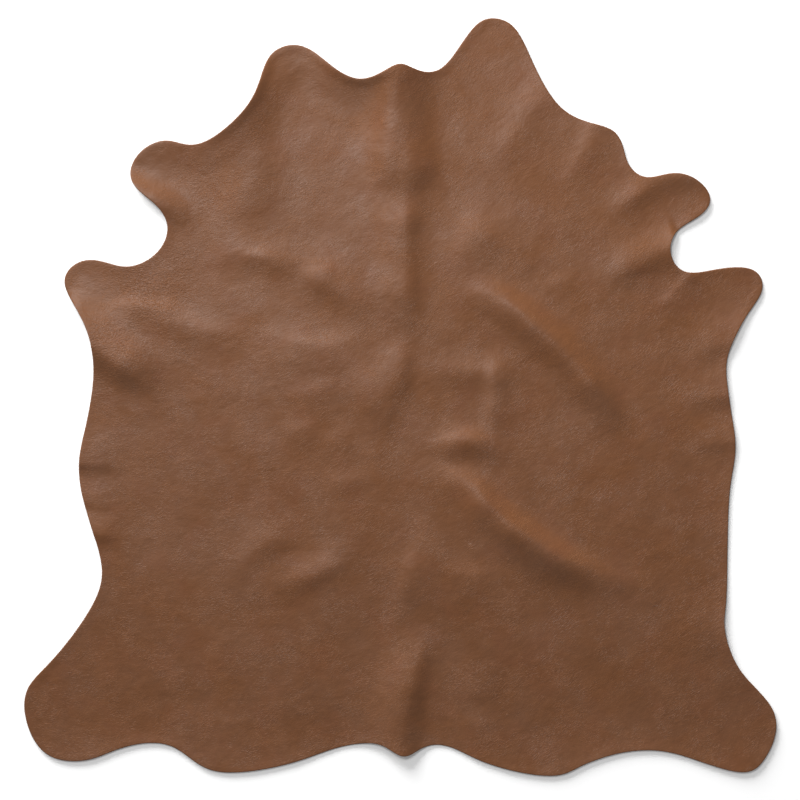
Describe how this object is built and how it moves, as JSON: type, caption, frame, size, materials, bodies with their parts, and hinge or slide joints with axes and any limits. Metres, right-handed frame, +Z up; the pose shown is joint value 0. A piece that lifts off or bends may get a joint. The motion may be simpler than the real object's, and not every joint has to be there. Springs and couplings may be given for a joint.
{
  "type": "leather hide",
  "caption": "Whole brown leather cowhide lying flat, with neck, leg lobes and rump in its uneven outline and soft folds across its smooth grain side.",
  "frame": {"origin": "middle of the hide's box, on the surface that it lies on", "axes": "+Z up, out of the grain side; +Y from the rump to the neck; +X to the right seen from above"},
  "size_m": [2.0836, 2.0993, 0.0371],
  "materials": {
    "leather": "soft satin grain, cut edges raw, flesh side suede"
  },
  "bodies": {
    "root": {"hide": "leather"}
  },
  "joints": []
}
